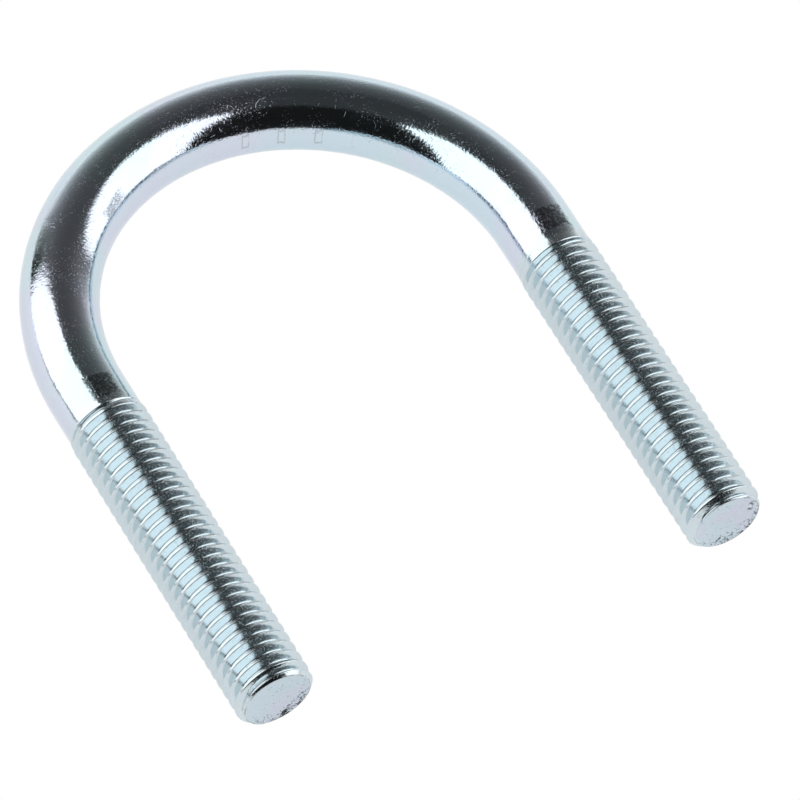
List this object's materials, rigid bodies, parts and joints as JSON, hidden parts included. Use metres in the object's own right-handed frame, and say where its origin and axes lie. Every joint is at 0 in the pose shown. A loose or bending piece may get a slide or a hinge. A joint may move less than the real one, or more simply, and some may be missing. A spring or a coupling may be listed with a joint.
{
  "type": "u-bolt",
  "caption": "Round U-bolt: a bright zinc-plated steel bar bent to a half circle, with a rolled M10 thread on each straight leg, for clamping a round tube.",
  "frame": {"origin": "centre of the bow, on the axis of the tube that the bolt clamps", "axes": "+Z along the tube's axis, +Y towards the crown of the bow, so the legs point along -Y; lying flat, the bolt rests on its thread crests below the XY plane"},
  "size_m": [0.0694, 0.0825, 0.0098],
  "materials": {
    "zinc_plate": "bright zinc plate, clear blue passivated"
  },
  "bodies": {
    "root": {"u_bolt": "zinc_plate"}
  },
  "joints": []
}
